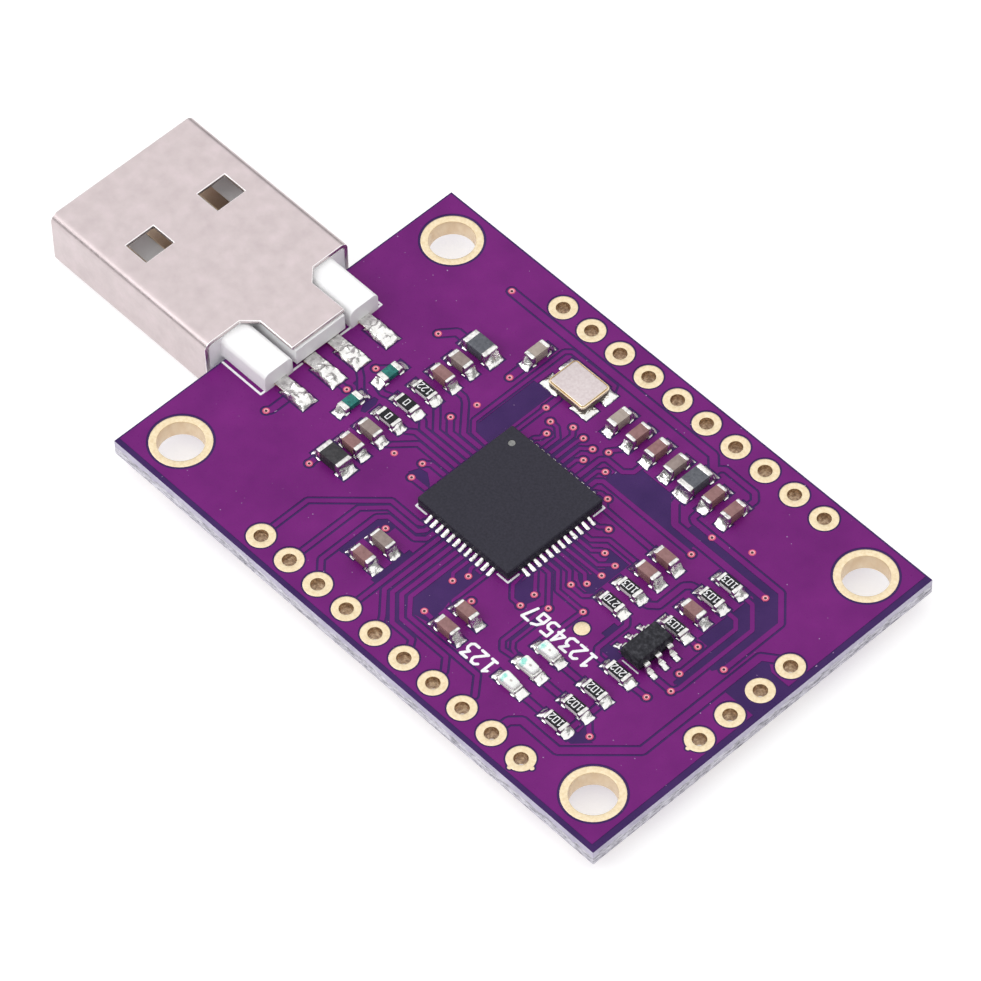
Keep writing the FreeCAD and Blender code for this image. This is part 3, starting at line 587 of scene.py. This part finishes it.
dark_ferrite = surface(
    "dark_ferrite", stops((0.018, 0.018, 0.021), (0.048, 0.046, 0.05)), (0.35, 0.55),
    PRESSED_GRAIN, blotch=5.0, shine=0.3)
teal = surface(
    "teal_coat", stops((0.003, 0.075, 0.07), (0.012, 0.2, 0.17)), (0.24, 0.4), (6.0, 0.6, 0.02),
    (14.0, 0.4, 0.008), blotch=4.0, coat=0.1, shine=0.3)
black_glaze = surface(
    "black_glaze", stops((0.006, 0.006, 0.008), (0.014, 0.014, 0.018)), (0.22, 0.4),
    (10.0, 0.3, 0.006), blotch=4.0, shine=0.2)
alumina = surface(
    "white_alumina", stops((0.7, 0.69, 0.68), (0.82, 0.81, 0.79)), (0.5, 0.7), (14.0, 0.4, 0.008),
    blotch=4.0)
tray_ceramic = surface(
    "tray_ceramic", stops((0.085, 0.065, 0.055), (0.15, 0.12, 0.1)), (0.5, 0.7),
    (12.0, 0.4, 0.01))
lid_metal = surface(
    "lid_metal", stops((0.58, 0.5, 0.505), (0.69, 0.62, 0.62)), (0.28, 0.4), (7.0, 0.35, 0.01),
    (20.0, 0.3, 0.004), metal=1.0, blotch=6.0, grain=12.0)
lamp_base = surface(
    "lamp_base", stops((0.72, 0.73, 0.68), (0.84, 0.85, 0.8)), (0.4, 0.6), (12.0, 0.3, 0.008))
pale_floor = surface(
    "pale_floor", stops(0.53, 0.56), (0.75, 0.9), (0.5, 0.05, 0.05), blotch=0.02, grain=0.4)
# The floor glows a little, so that its shadows stay pale
connect(pale_floor.node_tree, pale_floor.node_tree.nodes["Principled BSDF"],
        {"Emission Color": (1, 1, 1, 1), "Emission Strength": 0.56})


# Board: mask and copper relief

def rectangle(x0, x1, y0, y1):
    return [(x0, y0), (x1, y0), (x1, y1), (x0, y1)]


def capsule(a, b, width, count=4):
    """Outline of a line of a given width with round ends."""
    a, b = Vector(a), Vector(b)
    angle = atan2(b.y - a.y, b.x - a.x)
    outline = []
    for end, start in ((b, angle - pi / 2), (a, angle + pi / 2)):
        for n in range(count + 1):
            turn = start + pi * n / count
            outline.append((end.x + width / 2 * cos(turn),
                            end.y + width / 2 * sin(turn)))
    return outline


def turns_right(outline):
    """Whether an outline runs clockwise."""
    pairs = zip(outline, outline[1:] + outline[:1])
    return sum(a[0] * b[1] - a[1] * b[0] for a, b in pairs) < 0


def add_relief(bm, shapes, level, base, side=1):
    """Flat pattern with steps, from overlapping outlines.

    Shapes are pairs of kind and outline. Level takes the kinds that cover a spot and
    gives its height over the base and its material, or None where nothing is made.
    Side is 1 for a pattern that faces up and -1 for one that faces down."""
    points, faces, kinds = [], [], []
    for kind, outline in shapes:
        if turns_right(outline):
            outline = outline[::-1]
        faces.append(list(range(len(points), len(points) + len(outline))))
        points += [Vector(p) for p in outline]
        kinds.append(kind)
    places, _, tris, _, _, owners = delaunay_2d_cdt(points, [], faces, 0, 1e-6, True)
    corners, steps = {}, {}

    def corner(index, rise):
        if (index, rise) not in corners:
            corners[index, rise] = bm.verts.new((*places[index], base + side * rise))
        return corners[index, rise]

    for tri, owner in zip(tris, owners):
        found = level({kinds[n] for n in owner})
        if found is None:
            continue
        rise, index = found
        bm.faces.new([corner(n, rise) for n in tri[::side]]).material_index = index
        for a, b in zip(tri, list(tri[1:]) + [tri[0]]):
            steps.setdefault((min(a, b), max(a, b)), []).append((rise, a, b, index))
    for sides in steps.values():
        rise, a, b, index = max(sides)
        low = min(sides)[0] if len(sides) == 2 else 0.0
        if rise > low:
            wall = [corner(a, low), corner(b, low), corner(b, rise), corner(a, rise)]
            bm.faces.new(wall[::side]).material_index = index


def mask_level(kinds):
    if "hole" in kinds:
        return None
    if "ring" not in kinds and ("track" in kinds or "pour" in kinds and "gap" not in kinds):
        return COPPER_RISE, 0
    return LAMINATE_RISE, 1


def hole_shapes():
    return [("pour", rectangle(*POUR))] + [
        (kind, circle(place, radius, count)) for places, *rounds in (
            (MOUNT_HOLES, ("ring", MOUNT_PAD + RING_GAP * 1.4, 64), ("hole", MOUNT_BORE + 0.1, 48)),
            (HEADER_HOLES, ("ring", HEADER_PAD + RING_GAP, 36), ("hole", HEADER_BORE + 0.05, 24)),
            (VIAS, ("gap", VIA_RING + VIA_GAP, 16)),
            (VIAS + POUR_VIAS, ("track", VIA_RING, 16), ("hole", VIA_HOLE, 12)))
        for place in places for kind, radius, count in rounds]


def track_shapes(lines):
    return [(kind, capsule(a, b, width + extra))
            for kind, extra in (("gap", 2 * TRACK_GAP), ("track", 0.0))
            for width, *points in lines for a, b in zip(points, points[1:])]


# Lands of chips and leads: middle of the part, direction, half its length, half width of
# the land, how far the solder reaches out and how high it climbs
LAND_REACH, LAND_SIDE, LAND_GAP = 0.52, 0.05, 0.06
NARROW_LAND = 0.3
LEAD_PITCH, LEAD_WIDTH, LEAD_REACHES = 0.5, 0.29, (0.6, 0.52, 0.44, 0.6)
LEG_PITCH = 0.95
CHIP_HEIGHT = {"lamp": 0.3, "suppressor": 0.45}
chip_names = sorted(n for n in nodes
                    if n.split("_")[0] in ("capacitor", "resistor", "bead", "suppressor", "lamp"))
lands = []
for chip in chip_names:
    centre, size = centre_and_size(chip)
    turned = size.y > size.x
    length, width = (size.y, size.x) if turned else (size.x, size.y)
    rise = 0.62 * CHIP_HEIGHT.get(chip.split("_")[0], size.z)
    for side in (0, 1):
        angle = pi * side + (pi / 2 if turned else 0)
        lands.append((centre.xy, angle, length / 2, width / 2 + LAND_SIDE, LAND_REACH, rise))
controller, controller_size = centre_and_size("controller_case")
for quarter in range(4):
    angle = pi / 2 * quarter
    for n in range(12):
        step = Vector((0, (n - 5.5) * LEAD_PITCH))
        step.rotate(Matrix.Rotation(angle, 2))
        lands.append((controller.xy + step, angle, controller_size.x / 2, LEAD_WIDTH / 2,
                      LEAD_REACHES[quarter], 0.13))
memory, memory_size = centre_and_size("memory_leads")
for side in (0, 1):
    for n in (-1, 0, 1):
        lands.append((memory.xy + Vector((0, n * LEG_PITCH)), pi * side,
                      memory_size.x / 2, 0.2, 0.4, 0.14))


def solder_under(width):
    """How far solder reaches under a metal end."""
    return 0.36 if width > NARROW_LAND else 0.1


def land_outline(land):
    """Corners of a land with the opening of the mask round it."""
    middle, angle, half, width, reach, _ = land
    turn = Matrix.Rotation(angle, 2)
    corners = rectangle(half - solder_under(width) - LAND_GAP, half + reach + LAND_GAP,
                        -width - LAND_GAP, width + LAND_GAP)
    return [tuple(middle + turn @ Vector(p)) for p in corners]


# Solder without a chip's land: at the crystal's corners, and over the ends of the plug's
# contact tails, from behind each end to before it
CORNER_X, CORNER_Y, CORNER_LENGTH, CORNER_WIDTH = 1.35, 0.84, 0.75, 0.58
TAIL_BACK, TAIL_FRONT, TAIL_WIDTH = -1.75, 0.42, 0.64
PATCH_GAP = 0.07
crystal, _ = centre_and_size("crystal_base")
crystal_corners = [crystal.xy + Vector((sx * CORNER_X, sy * CORNER_Y))
                   for sx in (-1, 1) for sy in (-1, 1)]
tails = [centre_and_size(f"usb_contact_{n}") for n in (1, 2, 3, 4)]
tail_ends = [Vector((middle.x + size.x / 2, middle.y)) for middle, size in tails]
patches = [(place.x - CORNER_LENGTH, place.x + CORNER_LENGTH, place.y, CORNER_WIDTH)
           for place in crystal_corners]
patches += [(end.x + TAIL_BACK, end.x + TAIL_FRONT, end.y, TAIL_WIDTH) for end in tail_ends]

top_shapes = hole_shapes() + track_shapes(TRACKS)
top_shapes += [("gap", outline) for outline in BARE]
top_shapes += [("ring", land_outline(land)) for land in lands]
top_shapes.append(("ring", circle(TEST_PAD[:2], TEST_PAD[2] + RING_GAP, 24)))
top_shapes += [("ring", circle(place, NIB_PAD + RING_GAP, 16)) for place in PAD_NIBS]
top_shapes += [("ring", rectangle(x0 - PATCH_GAP, x1 + PATCH_GAP, y - half - PATCH_GAP,
                                  y + half + PATCH_GAP)) for x0, x1, y, half in patches]
under_shapes = hole_shapes() + track_shapes(UNDER_TRACKS)
for name, shapes, base, side in (("mask_top", top_shapes, BOARD_TOP, 1),
                                 ("mask_underside", under_shapes, 0.0, -1)):
    relief = bmesh.new()
    add_relief(relief, shapes + [("edge", rectangle(*BOARD))], mask_level, base, side)
    new_piece(name, relief, [mask_copper, mask_laminate], smooth=False)

# Plated holes: pads on both faces and a barrel between them
pads = bmesh.new()
upper = BOARD_TOP + PAD_RISE
for places, pad, inner, wall_index in ((MOUNT_HOLES, MOUNT_PAD, MOUNT_BORE, 2),
                                       (HEADER_HOLES, HEADER_PAD, HEADER_BORE - 0.03, 1)):
    top = [(pad, BOARD_TOP), (pad - 0.004, upper - 0.018), (pad - 0.03, upper - 0.004),
           (pad - 0.1, upper), (inner + 0.07, upper), (inner + 0.02, upper - 0.015),
           (inner, upper - 0.06)]
    profile = top + [(r, BOARD_TOP - z) for r, z in reversed(top)]
    indexes = [0] * (len(top) - 1) + [wall_index] + [0] * (len(top) - 1)
    for place in places:
        add_lathe(pads, place, profile[::-1], 48, indexes)
x, y, r = TEST_PAD
add_lathe(pads, (x, y), [(r, BOARD_TOP), (r, BOARD_TOP + 0.03), (r - 0.03, upper),
                         (0.001, upper)], 32, [0, 0, 0])
for place in PAD_NIBS:
    add_lathe(pads, place, [(NIB_PAD, BOARD_TOP), (NIB_PAD - 0.01, BOARD_TOP + 0.03),
                            (NIB_PAD - 0.04, upper - 0.004), (0.001, upper - 0.004)],
              14, [0, 0, 0])
new_piece("plated_holes", pads, [gold, gold_barrel, gold_wall],
          "mounting_plating")

# Vias: a low ring, a lighter band into the hole that is a painted highlight, and a dark dimple
rings = bmesh.new()
profile = [(VIA_RING, COPPER_RISE - 0.01), (VIA_RING - 0.02, COPPER_RISE + 0.012),
           (VIA_HOLE + 0.065, COPPER_RISE + 0.016), (VIA_HOLE, COPPER_RISE + 0.006),
           (VIA_HOLE - 0.02, COPPER_RISE - 0.015), (0.001, 0.004)]
for place in VIAS + POUR_VIAS:
    for base, side in ((BOARD_TOP, 1), (0.0, -1)):
        heights = [(radius, base + side * z) for radius, z in profile]
        add_lathe(rings, place, heights[::side], 20, [0, 0, 2, 1, 1][::side])
new_piece("via_rings", rings, [via_copper, via_hole, via_rim_painted_highlight])


# Solder on the lands

def add_mound(bm, middle, angle, along, across, height, shape=lambda s, v: (s, v)):
    """Solder over a patch of the board, level with the board at its border.

    Along and across are places from the middle. Height and the shape of the outline
    are functions of both."""
    rough = min(across[-1], 0.5)
    turn = Matrix.Rotation(angle, 2)
    rows = []
    for s in along:
        row = []
        for v in across:
            border = s in (along[0], along[-1]) or v in (across[0], across[-1])
            place = middle + turn @ Vector(shape(s, v))
            lump = noise_at(Vector((place.x, place.y, 0.3)) * 2.6)
            slip = 0.14 * rough * noise_at(Vector((place.x, place.y, 7.7)) * 3.1) if border else 0
            place += turn @ Vector((slip, slip))
            z = 0.004 if border else 0.004 + max(height(s, v) * (1 + 1.3 * rough * lump), 0.012)
            row.append(bm.verts.new((place.x, place.y, BOARD_TOP + z)))
        rows.append(row)
    for a, b in zip(rows, rows[1:]):
        for n in range(len(across) - 1):
            bm.faces.new((a[n], b[n], b[n + 1], a[n + 1]))


def spread(low, high, count):
    """Places between two limits, closer together near both ends."""
    middle, half = (low + high) / 2, (high - low) / 2
    return [middle - half * cos(pi * n / count) for n in range(count + 1)]


def add_joint(bm, land):
    """Solder with a hollow slope from a metal end down to the edge of its land."""
    middle, angle, half, width, reach, rise = land
    fill = chance.uniform(0.8, 1.25)
    lobes, phase, waist, corner = (chance.uniform(*limits) for limits in (
        (0.0, 1.0), (0.3, 0.7), (0.0, 0.2), (0.0, 0.3)))
    if width < NARROW_LAND:
        lobes, waist, corner = 0.5, 0.0, 0.1

    def height(s, v):
        t = max((s - half) / reach, 0)
        across = abs(v) / width
        lobe = cos(tau * (v / width - phase)) * lobes
        pillow = (0.09 + 0.07 * lobe * t) * (1 - across ** 2) ** 0.5 * (1 - t ** 4)
        slope = rise * fill * (1 - t) ** 2 * (1 - 0.3 * across ** 2) if s >= half else 0
        return 0.02 + pillow + slope

    def shape(s, v):
        """Drawn in at the waist, at the corners and between the lobes of the end."""
        t = max((s - half) / reach, 0)
        lobe = cos(tau * (v / width - phase)) * lobes
        pull = corner * (abs(v) / width) ** 3 + 0.05 * (1 - lobe)
        return s - reach * t ** 2 * pull, v * (1 - waist * sin(pi * t))

    under = solder_under(width)
    along = [half - under, half - under * 0.5, half - 0.02] + spread(half, half + reach, 9)
    add_mound(bm, middle, angle, along, spread(-width, width, 10), height, shape)


joints = bmesh.new()
for land in lands:
    add_joint(joints, land)
new_piece("solder_fillets", joints, [solder])


# Numerals

DIGITS = {
    "0": [[(0, 0), (0, 2), (1, 2), (1, 0), (0, 0)]],
    "1": [[(0.1, 1.6), (0.5, 2), (0.5, 0)], [(0.1, 0), (0.9, 0)]],
    "2": [[(0, 1.7), (0.3, 2), (0.8, 2), (1, 1.6), (1, 1.3), (0, 0), (1, 0)]],
    "3": [[(0, 2), (1, 2), (0.4, 1.15), (0.8, 1.1), (1, 0.8), (1, 0.3), (0.7, 0), (0, 0)]],
    "4": [[(0.8, 0), (0.8, 2), (0, 0.6), (1, 0.6)]],
    "5": [[(1, 2), (0, 2), (0, 1.1), (0.7, 1.1), (1, 0.8), (1, 0.3), (0.7, 0), (0, 0)]],
    "6": [[(1, 2), (0.4, 1.7), (0, 1), (0, 0), (1, 0), (1, 1), (0, 1)]],
    "7": [[(0, 2), (1, 2), (0.4, 0)]]}


def digit_lines(text, centre, height):
    """Strokes of plain numerals, centred on a point, that read from the far side."""
    scale = height / 2
    pitch = 1.55 * scale
    start = -((len(text) - 1) * pitch + scale) / 2
    spin = Matrix.Rotation(pi, 2)
    return [[Vector(centre) + spin @ Vector((start + n * pitch + x * scale, (y - 1) * scale))
             for x, y in stroke]
            for n, letter in enumerate(text) for stroke in DIGITS[letter]]


def ink_shapes(lines, pen):
    return [("ink", capsule(a, b, pen, 6)) for line in lines for a, b in zip(line, line[1:])]


# Chips

def add_chip(bm, size, band, rounding, glaze):
    """Chip of a given size at the origin, with plated ends that wrap round it."""
    half = size / 2
    rise = 0.02
    low, high = LAND_TOP, LAND_TOP + size.z
    add_rounded_box(bm, (-half.x + band * 0.5, -half.y + rise, low + rise),
                    (half.x - band * 0.5, half.y - rise, high - rise), 0.03)
    if glaze:
        add_rounded_box(bm, (-half.x + band * 0.7, -half.y + 0.005, high - 0.07),
                        (half.x - band * 0.7, half.y - 0.005, high + 0.004), 0.02, index=2)
    for side in (-1, 1):
        outer, inner = side * half.x, side * (half.x - band * chance.uniform(0.8, 1.05))
        add_rounded_box(bm, (min(outer, inner), -half.y, low), (max(outer, inner), half.y, high),
                        rounding, 4, 1, skew=0.012)


# Skin, slot, length of a plated end and rounding of it for each kind of chip
CHIPS = {"capacitor": (brown_ceramic, "capacitor_ceramic", 0.35, 0.11),
         "resistor": (alumina, "resistor_glaze", 0.35, 0.08),
         "bead": (ferrite, "ferrite", 0.45, 0.11),
         "suppressor": (teal, "teal_coat", 0.42, 0.08)}
OTHER_SKINS = {"capacitor_01": tan_ceramic, "capacitor_02": tan_ceramic,
               "capacitor_05": grey_ceramic, "capacitor_08": grey_ceramic,
               "capacitor_10": grey_ceramic, "capacitor_15": grey_ceramic,
               "bead_2": dark_ferrite}
RESISTOR_VALUES = "122 0 0 103 270 103 103 103 202 102 102 102".split()
for chip in chip_names:
    kind, number = chip.split("_")
    if kind == "lamp":
        continue
    skin, slot, band, rounding = CHIPS[kind]
    centre, size = centre_and_size(chip)
    turned = size.y > size.x
    local = Vector((size.y, size.x, size.z)) if turned else size
    local.z = CHIP_HEIGHT.get(kind, size.z)
    body = bmesh.new()
    add_chip(body, local, band, rounding, kind == "resistor")
    if kind == "resistor":
        code = ink_shapes(digit_lines(RESISTOR_VALUES[int(number) - 1], (0, 0), 0.46), 0.06)
        add_relief(body, code, lambda kinds: (0.012, 3) if kinds else None, LAND_TOP + size.z)
    bmesh.ops.rotate(body, verts=body.verts, cent=(0, 0, 0),
                     matrix=Matrix.Rotation(pi / 2 if turned else 0, 3, "Z"))
    bmesh.ops.translate(body, verts=body.verts, vec=(centre.x, centre.y, 0))
    skins = [OTHER_SKINS.get(chip, skin), tin]
    if kind == "resistor":
        skins += [black_glaze, silk_ink]
    new_piece(f"{chip}_chip", body, skins, chip)

# Lamps: a white base with plated ends under a milky lens that narrows to one end
for number in (1, 2, 3):
    centre, size = centre_and_size(f"lamp_{number}")
    x, y, low = centre.x, centre.y, LAND_TOP
    body = bmesh.new()
    add_rounded_box(body, (x - 0.72, y - 0.38, low), (x + 0.72, y + 0.38, low + 0.3), 0.03)
    for side in (-1, 1):
        ends = sorted((x + side * 0.8, x + side * 0.56))
        add_rounded_box(body, (ends[0], y - 0.36, low - 0.01), (ends[1], y + 0.36, low + 0.36),
                        0.09, 3, 1, skew=0.03)
    before = set(body.verts)
    add_rounded_box(body, (x - 0.64, y - 0.41, low + 0.25), (x + 0.62, y + 0.41, low + 0.68),
                    0.18, 5, 2)
    for v in set(body.verts) - before:
        t = min(max((v.co.x - x - 0.1) / 0.5, 0), 1)
        v.co.y = y + (v.co.y - y) * (1 - 0.22 * t)
        v.co.z -= 0.12 * t * (v.co.z - low) / 0.71
    lens = milky_lens(f"lamp_{number}_lens", x, y)
    new_piece(f"lamp_{number}_chip", body, [lamp_base, tin, lens],
              f"lamp_{number}")

# Controller, with a round mark at its first lead
softened("controller_body", "controller_case", 0.03, [mould_compound])
dot = bmesh.new()
case_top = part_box("controller_case")[1].z / MM
add_lathe(dot, (-3.5, 2.62), [(0.235, case_top - 0.05), (0.225, case_top - 0.03),
                              (0.001, case_top - 0.028)], 28, [0, 0])
new_piece("pin_mark", dot, [pin_grey])

# Memory chip with bent legs
softened("memory_body", "memory_case", 0.09, [memory_compound], 3)
legs = bmesh.new()
memory_case, memory_case_size = centre_and_size("memory_case")
shoulder, toe, sole = memory_case_size.x / 2 - 0.03, memory_size.x / 2, LAND_TOP + 0.085
for side in (-1, 1):
    for n in (-1, 0, 1):
        y = memory.y + n * LEG_PITCH
        line = [(memory.x + side * x, z) for x, z in (
            (shoulder, memory_case.z), (toe - 0.36, memory_case.z), (toe - 0.3, sole),
            (toe + 0.04, sole))]
        add_ribbon(legs, rounded_line(line, 0.2, 6), y - 0.19, y + 0.19, 0.17)
bmesh.ops.recalc_face_normals(legs, faces=legs.faces)
new_piece("memory_legs", legs, [tin], "memory_leads")

# Crystal: a dark tray under a cover with a gold rim
low, high = (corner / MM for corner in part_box("crystal_base"))
tray = bmesh.new()
add_slab(tray, low, high, 0.3, [(0.08, low.z), (0.04, low.z + 0.03), (0.04, high.z - 0.06),
                                (0.06, high.z - 0.02)], [0, 0, 0])
new_piece("crystal_tray", tray, [tray_ceramic], "crystal_base")
cover = bmesh.new()
lid_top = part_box("crystal_lid")[1].z / MM
add_slab(cover, low, high, 0.3, [(inset, lid_top - depth) for inset, depth in (
    (0.03, 0.22), (0.0, 0.18), (0.0, 0.12), (0.02, 0.09), (0.06, 0.08), (0.075, 0.12),
    (0.11, 0.12), (0.125, 0.04), (0.16, 0.01), (0.2, 0.0))], [1] * 8 + [0])
new_piece("crystal_cover", cover, [lid_metal, spring_gold], "crystal_lid")

# Solder at the corners of the crystal and over the contact tails
lumps = bmesh.new()
for place in crystal_corners:
    add_mound(lumps, place, 0, spread(-CORNER_LENGTH, CORNER_LENGTH, 12),
              spread(-CORNER_WIDTH, CORNER_WIDTH, 10),
              lambda s, v: 0.05 + 0.16 * (1 - (v / CORNER_WIDTH) ** 2)
              * (1 - (s / CORNER_LENGTH) ** 4))
for n, place in enumerate(tail_ends):
    def over_tail(s, v):
        """A ridged lump over the end of the tail that runs down to the land round it."""
        back = min(max((s - TAIL_BACK) / 0.45, 0), 1)
        front = min(max((TAIL_FRONT - s) / 0.5, 0), 1)
        ridge = 0.07 * noise_at(Vector((s * 1.3, v * 6.0, (n + 1) * 3.1)))
        side = 1 - (abs(v) / TAIL_WIDTH) ** 7
        return 0.04 + (0.36 + ridge) * back ** 0.6 * front ** 0.5 * side

    add_mound(lumps, place, 0, spread(TAIL_BACK, TAIL_FRONT, 26),
              spread(-TAIL_WIDTH, TAIL_WIDTH, 16), over_tail)
new_piece("solder_patches", lumps, [solder], "solder_joints")

# USB plug, whose contacts are tinned outside and gold in the shell
# The rolled edges of the shell take the brighter nickel, a painted highlight
softened("usb_shell_sheet", "usb_shell", 0.06, [nickel, nickel_painted_highlight])
softened("usb_plastic", "usb_insulator", 0.05, [white_plastic])
for n in (1, 2, 3, 4):
    contact = softened(f"usb_spring_{n}", f"usb_contact_{n}", 0.05, [tin, spring_gold])
    for face in contact.data.polygons:
        outside = face.center.x > -19.0 * MM and abs(face.normal.y) < 0.7
        face.material_index = 0 if outside else 1

# Printed lines and numerals
printed = []
for width, *points in INK:
    printed += ink_shapes([points], width)
for text, centre in (("1234567", (8.6, -4.98)), ("123", (6.4, -9.5))):
    printed += ink_shapes(digit_lines(text, centre, 1.05), 0.19)
ink = bmesh.new()
add_relief(ink, printed, lambda kinds: (INK_RISE, 0) if kinds else None, BOARD_TOP)
new_piece("printed_lines", ink, [silk_ink], smooth=False)

# CAD nodes that stay as they are
for name, material in (("controller_leads", tin), ("circuit_board", fibreglass)):
    nodes[name].data.materials.clear()
    nodes[name].data.materials.append(material)

# Camera at the angle of the photograph
view = bpy.data.cameras.new("camera")
view.lens = 237.11
view.sensor_width = 36
view.clip_start, view.clip_end = 0.01, 10
camera = bpy.data.objects.new("camera", view)
right = Vector((0.687509, 0.725991, -0.016421))
up = Vector((-0.572714, 0.555982, 0.602398))
back = Vector((0.446465, -0.404749, 0.798027))
turn = Matrix((right, up, back)).transposed().to_4x4()
camera.matrix_world = Matrix.Translation(Vector((0.173499, -0.159706, 0.315353))) @ turn
bpy.context.collection.objects.link(camera)
bpy.context.scene.camera = camera

# Floor and studio light
floor_mesh = bmesh.new()
bmesh.ops.create_grid(floor_mesh, x_segments=4, y_segments=4, size=900)
bmesh.ops.translate(floor_mesh, verts=floor_mesh.verts, vec=(0, 0, FLOOR))
link_mesh("floor", floor_mesh, [pale_floor])


def add_light(name, place, size, power):
    """Soft light that faces the object."""
    light = bpy.data.lights.new(name, "AREA")
    light.shape = "RECTANGLE"
    light.size, light.size_y = size
    light.energy = power
    lamp = bpy.data.objects.new(name, light)
    lamp.location = place
    lamp.rotation_euler = (-Vector(place)).to_track_quat("-Z", "Y").to_euler()
    bpy.context.collection.objects.link(lamp)


add_light("main_light", (-0.1, -0.34, 0.34), (0.3, 0.3), 0.55)
add_light("side_light", (-0.4, -0.12, 0.16), (0.26, 0.22), 0.3)
world = bpy.data.worlds.new("studio")
world.use_nodes = True
sky = world.node_tree
ball = add_node(sky, "TexCoord", {})
split = add_node(sky, "SeparateXYZ", {"Vector": ball.outputs["Generated"]})
height = add_node(sky, "MapRange", {"Value": split.outputs["Z"], "From Min": -1.0})
light_of_room = ramp(sky, height.outputs["Result"], [
    (0.497, 0.84), (0.505, 0.45), (0.62, 0.2), (0.72, 0.38), (0.79, 0.98), (1.0, 0.98)])
connect(sky, sky.nodes["Background"], {"Color": light_of_room, "Strength": 1.25})
bpy.context.scene.world = world
bpy.context.scene.view_settings.view_transform = "Standard"
